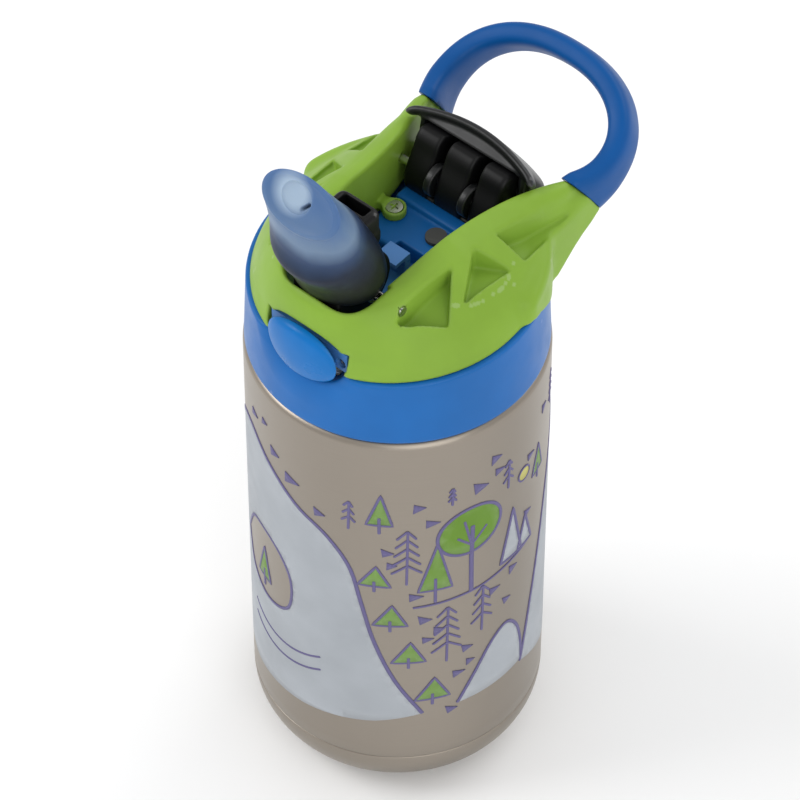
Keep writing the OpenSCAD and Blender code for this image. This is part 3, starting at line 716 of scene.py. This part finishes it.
# The print is drawn flat, as (length round the body, height), and covers half of the round; the
# other half repeats it.
HALF_ROUND = math.pi * BODY_R
PRINT_CELL = 1.5                # longest edge of a cell, so that the print follows the round steel
HILL = (
    (-53, 35), (-47, 62), (-39, 92), (-30, 110), (-20, 116), (-10, 111), (0, 104), (8, 99), (14, 90),
    (17, 77), (20, 63), (25, 48), (32, 34))
HILL_FOOT = ((20, 31), (0, 28), (-20, 26), (-38, 28))
CLEARING = ((-25, 72), (-19, 82), (-9, 82), (-3, 74), (-4, 62), (-12, 58), (-21, 62))
KNOLL = ((41, 35), (45.5, 44), (50.5, 53), (55.5, 56.5), (59.5, 52), (61.5, 44), (62, 36))
PEAKS = (((53, 81), (57, 99), (60.5, 81)), ((59, 81), (62, 92), (65, 81)))
# Trees as place, foot, height and number of tiers or width; triangles as place, height and size.
PINES = (
    (14, 104, 10, 3), (28, 85, 20, 5), (38, 53, 21, 5), (47.5, 60, 17, 4), (39, 112, 6, 3),
    (-37, 116, 12, 4), (55, 108, 10, 3))
FIRS = (
    (21.5, 104, 14, 6.4), (35, 77, 22, 8.5), (-14, 61, 15, 6), (20.2, 82, 9.5, 8.0),
    (24, 67, 10, 8.5), (28.5, 52.5, 10, 8.5), (34.5, 37, 10.5, 9), (-47, 100, 12, 5.5))
TRIANGLES = (
    (-17, 122, 3.2), (-8, 117, 3.6), (-12, 124, 2.6), (-2, 112, 4.6), (6, 106, 3.4), (30.5, 113, 3.6),
    (34, 107, 3.6), (46, 115, 4.6), (50.5, 122, 3.6), (52, 117, 3.2), (23, 97, 3.4), (24, 92, 3.0),
    (30, 80, 3.6), (32, 71, 3.8), (35.5, 66, 3.4), (33, 63, 3.0), (43, 56, 3.4), (44, 50, 2.8),
    (41, 47, 3.4), (39, 33.5, 3.4), (-44, 122, 3.2), (-51, 112, 3.0), (-52, 92, 3.2), (57, 76, 3.4),
    (51, 73, 3.4), (55, 66, 3.0))
# Name of each ink's piece and how far it stands proud of the steel.
INK_LAYERS = (("print_pale", 0.05), ("print_green", 0.09), ("print_yellow", 0.09), ("print_line", 0.13))


def resampled(points, step, closed=False):
    """Points along a polyline, no more than step apart."""
    points = [np.asarray(p, float) for p in points]
    if closed:
        points.append(points[0])
    out = [points[0]]
    for a, b in zip(points, points[1:]):
        n = math.ceil(np.linalg.norm(b - a) / step)
        out += [a + (b - a) * i / n for i in range(1, n + 1)]
    return np.array(out[:-1] if closed else out)


def inside(points, outline):
    """Which points lie inside an outline."""
    x, y = np.asarray(points).T
    odd = np.zeros(len(x), bool)
    for (ax, ay), (bx, by) in zip(outline, np.roll(outline, -1, 0)):
        if ay != by:
            odd ^= ((ay > y) != (by > y)) & (x < ax + (y - ay) * (bx - ax) / (by - ay))
    return odd


def filled(outline, hole=None):
    """Cells that fill an outline, less a hole."""
    rims = [resampled(rim, PRINT_CELL, closed=True) for rim in (outline, hole) if rim is not None]
    lo, hi = rims[0].min(0), rims[0].max(0)
    grid = np.array([(a, z) for a in np.arange(lo[0], hi[0], PRINT_CELL)
                     for z in np.arange(lo[1], hi[1], 2.5 * PRINT_CELL)]).reshape(-1, 2)
    first, loops = 0, []
    for rim in rims:
        loops.append([(first + i, first + (i + 1) % len(rim)) for i in range(len(rim))])
        first += len(rim)
    points = np.vstack(rims + [grid])
    made = delaunay_2d_cdt([Vector(p) for p in points], sum(loops, []), [], 0, 1e-6)
    points = np.array([tuple(v) for v in made[0]])
    faces = np.array(made[2])
    middles = points[faces].mean(1)
    keep = inside(middles, rims[0])
    if hole is not None:
        keep &= ~inside(middles, rims[1])
    used, faces = np.unique(faces[keep], return_inverse=True)
    return points[used], faces.reshape(-1, 3)


def stroke(points, width, closed=False):
    """Cells along a drawn line with round ends."""
    line = resampled(points, 1.0, closed)
    if not closed:
        ends = [line[0] + (line[1] - line[0]) * k for k in (0.05, 0.25)]
        tail = [line[-1] + (line[-2] - line[-1]) * k for k in (0.25, 0.05)]
        line = np.vstack([line[:1], ends, line[1:-1], tail, line[-1:]])
    ahead, behind = np.roll(line, -1, 0), np.roll(line, 1, 0)
    if not closed:
        ahead[-1], behind[0] = line[-1], line[0]
    along = ahead - behind
    along /= np.linalg.norm(along, axis=1, keepdims=True)
    half = np.full(len(line), width / 2)
    if not closed:
        half[[0, -1]] *= 0.3
        half[[1, -2]] *= 0.75
    side = np.stack([-along[:, 1], along[:, 0]], 1) * half[:, None]
    n = len(line)
    faces = [(i, (i + 1) % n, n + (i + 1) % n, n + i) for i in range(n if closed else n - 1)]
    return np.vstack([line + side, line - side]), np.array(faces)


class Print:
    """One ink: a thin closed skin on the steel that takes up patches of cells."""

    def __init__(self, name, height):
        self.name, self.height, self.count = name, height, 0
        self.points, self.faces = [], []

    def add(self, cells):
        """Wraps cells round the body; neighbours differ a little in height so they never coincide."""
        flat, faces = cells
        proud = self.height + 0.004 * (len(self.points) // 2 % 8)
        a, z = flat[:, 0] / BODY_R, flat[:, 1]
        n = len(flat)
        for r in (BODY_R + proud, BODY_R - 0.1):
            self.points.append(np.stack([r * np.sin(a), -r * np.cos(a), z], 1))
        turn = flat[faces[0]]
        ccw = np.cross(turn[1] - turn[0], turn[2] - turn[1]) > 0
        top = faces if ccw else faces[:, ::-1]
        edges = {(i, j) for face in top.tolist() for i, j in zip(face, face[1:] + face[:1])}
        rim = [(i, j) for i, j in sorted(edges) if (j, i) not in edges]
        rows = top.tolist() + (top[:, ::-1] + n).tolist() + [(j, i, n + i, n + j) for i, j in rim]
        self.faces += [[k + self.count for k in row] for row in rows]
        self.count += 2 * n

    def piece(self):
        return new_object(self.name, np.vstack(self.points), self.faces)


def printed_landscape():
    """Rolling hills with pines, firs, a round tree and scattered triangles, in four inks."""
    pale, leaf, sun, line = (Print(name, proud) for name, proud in INK_LAYERS)
    tilt = np.linspace(0, 2 * math.pi, 40, endpoint=False)
    for start in (0.0, HALF_ROUND):

        def at(points):
            return np.asarray(points, float) + (start, 0.0)

        def shape(ink, outline, width):
            ink.add(filled(outline))
            line.add(stroke(outline, width, closed=True))

        slope = smooth_rows(np.array(HILL, float), 60)
        hill = at(np.vstack([slope, HILL_FOOT]))
        pond = at(smooth_rows(np.array(CLEARING + CLEARING[:1], float), 40)[:-1])
        pale.add(filled(hill, pond))
        line.add(stroke(at(slope), 1.0))
        line.add(stroke(pond, 0.8, closed=True))
        knoll = smooth_rows(np.array(KNOLL, float), 30)
        pale.add(filled(at(knoll)))
        line.add(stroke(at(knoll), 0.9))
        for z in (50.0, 45.0):
            sweep = [(a, z - 3.5 + 0.02 * (a + 8) ** 2) for a in np.linspace(-20, 6, 20)]
            line.add(stroke(at(sweep), 0.6))
        for peak in PEAKS:
            shape(pale, at(peak), 0.8)
        sun_disc = np.stack([61 + 2.2 * np.cos(tilt), 108 + 2.2 * np.sin(tilt)], 1)
        shape(sun, at(sun_disc), 0.5)
        # round tree on a line of ground
        crown = np.stack([8.6 * np.cos(tilt), 8.2 * np.sin(tilt) + 0.6 * np.cos(tilt)], 1)
        shape(leaf, at(crown + (44.0, 100.5)), 0.9)
        line.add(stroke(at([(44.3, 77.5), (44.2, 90), (44.4, 102)]), 1.2))
        for tip in ((40.4, 99), (48.4, 100), (42.2, 104.5)):
            line.add(stroke(at([(44.2, 95.0), tip]), 0.7))
        line.add(stroke(at([(29.5, 76.0), (37, 76.6), (47, 77.6), (64, 81)]), 0.6))
        for a, z, high, wide in FIRS:
            base = z + 0.22 * high
            fir = [(a - wide / 2, base), (a + wide / 2, base), (a + 0.06 * wide, z + high)]
            shape(leaf, at(fir), 0.65)
            line.add(stroke(at([(a, z), (a, base + 0.2 * high)]), 0.8))
        for a, z, high, tiers in PINES:
            line.add(stroke(at([(a, z), (a + 0.3, z + high)]), 0.65))
            for tier in range(tiers):
                top = z + high * (1.0 - 0.8 * tier / tiers)
                reach = 0.17 * high * (0.7 + 0.5 * tier / tiers)
                low = top - 0.12 * high - 0.6
                for side in (-1, 1):
                    line.add(stroke(at([(a + 0.2, top), (a + side * reach, low)]), 0.6))
        for k, (a, z, size) in enumerate(TRIANGLES):
            turns = 2.1 * k + np.array([0.0, 2.2, 4.0])
            corners = np.stack([a + size * 0.62 * np.cos(turns), z + size * 0.5 * np.sin(turns)], 1)
            line.add(filled(at(corners)))
    return [ink.piece() for ink in (pale, leaf, sun, line)]


# ---------------------------------------------------------------- materials

def material(name):
    """New material with its node tree and its shader."""
    made = bpy.data.materials.new(name)
    made.use_nodes = True
    return made, made.node_tree, made.node_tree.nodes["Principled BSDF"]


def node(tree, kind, **values):
    """New node; values with a leading underscore go to its inputs, the others to its settings."""
    made = tree.nodes.new(kind)
    for key, value in values.items():
        if key.startswith("_"):
            made.inputs[key[1:].replace("_", " ")].default_value = value
        else:
            setattr(made, key, value)
    return made


def noise(tree, scale, detail=3.0, stretch=(1, 1, 1)):
    """Noise in object space; scale is in features for each metre."""
    coord = node(tree, "ShaderNodeTexCoord")
    mapping = node(tree, "ShaderNodeMapping")
    mapping.inputs["Scale"].default_value = stretch
    made = node(tree, "ShaderNodeTexNoise", _Scale=scale, _Detail=detail)
    tree.links.new(coord.outputs["Object"], mapping.inputs["Vector"])
    tree.links.new(mapping.outputs["Vector"], made.inputs["Vector"])
    return made.outputs["Fac"]


def ramp(tree, source, low, high, a, b):
    """Maps source from low..high to the colours a..b."""
    made = node(tree, "ShaderNodeValToRGB")
    made.color_ramp.elements[0].position = low
    made.color_ramp.elements[1].position = high
    made.color_ramp.elements[0].color = (*a, 1)
    made.color_ramp.elements[1].color = (*b, 1)
    tree.links.new(source, made.inputs["Fac"])
    return made.outputs["Color"]


def spread(tree, source, low, high, a, b):
    """Maps source from low..high to the numbers a..b."""
    made = node(tree, "ShaderNodeMapRange")
    for key, value in (("From Min", low), ("From Max", high), ("To Min", a), ("To Max", b)):
        made.inputs[key].default_value = value
    tree.links.new(source, made.inputs["Value"])
    return made.outputs["Result"]


def bump(tree, shader, source, strength, distance_mm, below=None):
    """Puts relief from source on a shader, over the relief below."""
    made = node(tree, "ShaderNodeBump", _Strength=strength, _Distance=distance_mm * MM)
    tree.links.new(source, made.inputs["Height"])
    if below is not None:
        tree.links.new(below, made.inputs["Normal"])
    tree.links.new(made.outputs["Normal"], shader.inputs["Normal"])
    return made.outputs["Normal"]


def linear(r, g, b):
    """Linear colour of 8-bit display values."""
    return tuple(((c / 255 + 0.055) / 1.055) ** 2.4 if c > 10 else c / 3294.6 for c in (r, g, b))


def plastic(name, colour, rough=0.4, soft=0.0, gloss=0.2, grain=3500.0, grain_depth=0.02, shade=0.06):
    """Moulded plastic: fine spark texture, slight flow marks in tone and gloss, paler edges painted on as a
    highlight.
    """
    made, tree, shader = material(name)
    dark = tuple(c * (1 - shade) for c in colour)
    pale = tuple(min(1, c * (1 + shade)) for c in colour)
    tone = ramp(tree, noise(tree, 55.0, 4.0), 0.35, 0.65, dark, pale)
    # painted highlight: convex edges, found by pointiness, are mixed 22% toward white
    edge = node(tree, "ShaderNodeNewGeometry").outputs["Pointiness"]
    edge_highlight = node(tree, "ShaderNodeMix", data_type="RGBA", blend_type="MIX")
    tree.links.new(spread(tree, edge, 0.53, 0.62, 0.0, 0.35), edge_highlight.inputs["Factor"])
    tree.links.new(tone, edge_highlight.inputs[6])
    edge_highlight.inputs[7].default_value = (*(c + (1 - c) * 0.22 for c in colour), 1)
    tree.links.new(edge_highlight.outputs[2], shader.inputs["Base Color"])
    tree.links.new(spread(tree, noise(tree, 160.0, 5.0), 0.3, 0.7, rough - 0.05, rough + 0.06),
                   shader.inputs["Roughness"])
    fine = bump(tree, shader, noise(tree, grain, 2.0), 0.35, grain_depth)
    bump(tree, shader, noise(tree, 130.0, 2.0), 0.12, 0.06, fine)
    shader.inputs["IOR"].default_value = 1.47
    shader.inputs["Specular IOR Level"].default_value = gloss
    if soft:
        shader.inputs["Subsurface Weight"].default_value = soft
        shader.inputs["Subsurface Radius"].default_value = (0.9, 0.9, 0.5)
        shader.inputs["Subsurface Scale"].default_value = 1.2 * MM
    return made


# ---------------------------------------------------------------- camera, light and floor

def aim(thing, at):
    """Points a lamp or camera, whose own view runs along its -Z, at a place."""
    direction = Vector(at) - thing.location
    thing.rotation_euler = direction.to_track_quat("-Z", "Y").to_euler()


def camera():
    """Long lens from the front right and above."""
    target = Vector((0, 0, 0.11055))
    azimuth, elevation, distance = math.radians(40.614), math.radians(49.036), 1.11786
    data = bpy.data.cameras.new("camera")
    data.sensor_width = 36.0
    data.lens = 210.12
    data.shift_x = 0.00296
    data.shift_y = -0.00068
    data.clip_start = 0.05
    made = bpy.data.objects.new("camera", data)
    flat = math.cos(elevation)
    made.location = target + distance * Vector((math.sin(azimuth) * flat, -math.cos(azimuth) * flat,
                                                math.sin(elevation)))
    bpy.context.scene.collection.objects.link(made)
    aim(made, target)
    bpy.context.scene.camera = made


def lamp(name, place, size, power):
    """Soft rectangular lamp that looks at the bottle."""
    data = bpy.data.lights.new(name, "AREA")
    data.shape = "RECTANGLE"
    data.size, data.size_y = size
    data.energy = power
    made = bpy.data.objects.new(name, data)
    made.location = place
    bpy.context.scene.collection.objects.link(made)
    aim(made, (0, 0, 0.11))


def studio():
    """White surroundings, three soft lamps and a pale floor."""
    bpy.context.scene.view_settings.view_transform = "Standard"
    world = bpy.data.worlds.new("studio")
    bpy.context.scene.world = world
    world.use_nodes = True
    world.node_tree.nodes["Background"].inputs["Color"].default_value = (1.0, 1.0, 1.0, 1)
    world.node_tree.nodes["Background"].inputs["Strength"].default_value = 0.75
    lamp("key", (-0.9, -0.7, 1.1), (0.8, 0.8), 9.0)
    lamp("fill", (1.0, -0.6, 0.6), (0.9, 1.1), 5.0)
    lamp("rear", (0.2, 1.2, 1.0), (1.2, 0.7), 6.0)
    bpy.ops.mesh.primitive_plane_add(size=8.0, location=(0, 0, -0.0002))
    floor = bpy.context.object
    floor.name = "floor"
    made, tree, shader = material("pale_floor")
    tree.links.new(ramp(tree, noise(tree, 3.0, 2.0), 0.3, 0.7, (0.90, 0.90, 0.90), (0.93, 0.93, 0.93)),
                   shader.inputs["Base Color"])
    shader.inputs["Roughness"].default_value = 0.75
    floor.data.materials.append(made)


def brushed(name, colour, rough=0.36):
    """Spun steel: fine lines round the axis, soft clouds in gloss and tone."""
    made, tree, shader = material(name)
    lines = noise(tree, 60.0, 5.0, (1.0, 1.0, 70.0))
    clouds = noise(tree, 28.0, 3.0)
    tone = ramp(tree, lines, 0.3, 0.7, tuple(c * 0.98 for c in colour), tuple(c * 1.02 for c in colour))
    tree.links.new(tone, shader.inputs["Base Color"])
    rough_map = node(tree, "ShaderNodeMath", operation="ADD")
    tree.links.new(spread(tree, lines, 0.3, 0.7, rough - 0.02, rough + 0.02), rough_map.inputs[0])
    tree.links.new(spread(tree, clouds, 0.3, 0.7, -0.03, 0.03), rough_map.inputs[1])
    tree.links.new(rough_map.outputs[0], shader.inputs["Roughness"])
    bump(tree, shader, lines, 0.06, 0.01)
    shader.inputs["Metallic"].default_value = 1.0
    return made


def frosted(name):
    """Milky blue silicone whose dark carrier shows through towards the foot."""
    made, tree, shader = material(name)
    coord = node(tree, "ShaderNodeTexCoord")
    along = node(tree, "ShaderNodeVectorMath", operation="DOT_PRODUCT")
    axis = Vector((0, -math.sin(SPOUT_LEAN), math.cos(SPOUT_LEAN)))
    along.inputs[1].default_value = axis
    tree.links.new(coord.outputs["Object"], along.inputs[0])
    foot = axis.dot(Vector(spout_pivot) * MM)
    height = spread(tree, along.outputs["Value"], foot, foot + 0.040, 0.0, 1.0)
    cloud = node(tree, "ShaderNodeMath", operation="MULTIPLY_ADD")
    tree.links.new(noise(tree, 90.0, 2.0), cloud.inputs[0])
    cloud.inputs[1].default_value = 0.10
    tree.links.new(height, cloud.inputs[2])
    tones = node(tree, "ShaderNodeValToRGB")
    stops = ((0.10, (10, 11, 12)), (0.34, (9, 12, 18)), (0.52, (20, 32, 52)), (0.64, (46, 66, 98)),
             (0.74, (104, 126, 152)), (0.97, (76, 106, 148)))
    ramp_stops = tones.color_ramp.elements
    while len(ramp_stops) < len(stops):
        ramp_stops.new(0.5)
    for stop, (place, colour) in zip(ramp_stops, stops):
        stop.position = place
        stop.color = (*linear(*colour), 1)
    tree.links.new(cloud.outputs[0], tones.inputs["Fac"])
    # thinner and milkier round the dimple
    patch = node(tree, "ShaderNodeVectorMath", operation="DISTANCE")
    patch.inputs[1].default_value = Vector(lip_point(-3.0, 1.4)) * MM
    tree.links.new(coord.outputs["Object"], patch.inputs[0])
    milky = node(tree, "ShaderNodeMix", data_type="RGBA", blend_type="MIX")
    tree.links.new(spread(tree, patch.outputs["Value"], 3.0 * MM, 6.0 * MM, 0.6, 0.0),
                   milky.inputs["Factor"])
    tree.links.new(tones.outputs["Color"], milky.inputs[6])
    milky.inputs[7].default_value = (*linear(186, 204, 218), 1)
    tree.links.new(milky.outputs[2], shader.inputs["Base Color"])
    tree.links.new(spread(tree, noise(tree, 240.0, 4.0), 0.3, 0.7, 0.36, 0.5),
                   shader.inputs["Roughness"])
    bump(tree, shader, noise(tree, 2600.0, 2.0), 0.2, 0.015)
    shader.inputs["Specular IOR Level"].default_value = 0.25
    shader.inputs["Subsurface Weight"].default_value = 0.3
    shader.inputs["Subsurface Radius"].default_value = (0.7, 0.9, 1.3)
    shader.inputs["Subsurface Scale"].default_value = 1.5 * MM
    shader.inputs["IOR"].default_value = 1.41
    return made


# ---------------------------------------------------------------- assembly

STEP = 0.45      # cell of the level sets
MARGIN = 0.8                            # room round a node's box for its piece

camera()
studio()

looks = {
    "green_shell": plastic("green_plastic", linear(129, 165, 57), 0.42, soft=0.1),
    "blue_collar": plastic("blue_ring", linear(21, 97, 168), 0.34),
    "blue_button": plastic("blue_button", linear(6, 105, 178), 0.3),
    "blue_loop": plastic("blue_handle", linear(3, 76, 142), 0.42),
    "black_plastic": plastic("black_plastic", linear(13, 13, 14), 0.42),
    "black_cover": plastic("black_cover", linear(22, 23, 24), 0.34, gloss=0.4),
    "brushed_steel": brushed("brushed_steel", (0.30, 0.265, 0.225)),
    "base_steel": brushed("base_steel", (0.32, 0.29, 0.255), 0.3),
    "inner_steel": brushed("inner_steel", (0.5, 0.48, 0.46), 0.24),
    "fastener_steel": brushed("fastener_steel", (0.6, 0.6, 0.58), 0.22),
    "spring_steel": brushed("spring_steel", (0.45, 0.45, 0.45), 0.28),
    "blue_silicone": frosted("frosted_silicone"),
    "black_rubber": plastic("black_rubber", linear(30, 30, 30), 0.62),
    "seal_glass": plastic("seal_glass", linear(60, 60, 64), 0.2),
    "clear_silicone": plastic("clear_silicone", linear(226, 230, 232), 0.45, soft=0.5),
    "clear_plastic": plastic("clear_plastic", linear(204, 214, 224), 0.3, soft=0.5),
}


def place(piece, body, slot, *stands_for):
    """Gives a piece its finish and its body, and hides the CAD nodes that it stands for."""
    piece.data.materials.append(looks[slot])
    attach(piece, body)
    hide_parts(*stands_for)


def level_of(name, field, node_name, step, below=MARGIN, above=MARGIN):
    """Level-set piece in the box of the CAD node that it stands for."""
    lo, hi = box_mm(node_name)
    return level_piece(name, field, lo - below, hi + above, step)


place(steel_body(), "bottle", "brushed_steel", "outer_shell")
INKS = (("ink_pale", (159, 164, 170)), ("ink_green", (96, 134, 40)), ("ink_yellow", (184, 178, 84)),
        ("ink_line", (66, 56, 116)))
for piece, (ink, colour) in zip(printed_landscape(), INKS):
    piece.data.materials.append(plastic(ink, linear(*colour), 0.45))
    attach(piece, "bottle")
place(steel_foot(), "bottle", "brushed_steel", "base_cap")
place(level_of("lid_ring", collar_field, "collar", STEP), "lid", "blue_collar", "collar")
place(level_of("lid_housing", shell_field, "lid_shell", STEP, (0.6, 0.6, 4.0), (0.6, 0.6, 1.2)),
      "lid", "green_shell", "lid_shell")
place(carry_loop(), "lid", "blue_loop", "carry_loop")
place(level_of("cover_hinge", block_field, "hinge_block", STEP * 0.8),
      "lid", "black_plastic", "hinge_block")
place(level_of("flip_cover", hood_field, "cover_hood", STEP * 0.8, 2.0, 2.0),
      "cover", "black_cover", "cover_hood")
place(level_of("spout_core", core_field, "spout_carrier", STEP * 0.8),
      "spout", "black_plastic", "spout_carrier")
place(mouthpiece(), "spout", "blue_silicone", "spout_nozzle")
place(level_of("release_button", button_field, "front_button", STEP * 0.7),
      "button", "blue_button", "front_button")

for part in frame["record"]["subparts"]:
    kept = nodes[part["node"]]
    kept.data.materials.clear()
    kept.data.materials.append(looks[part["material_slot"]])
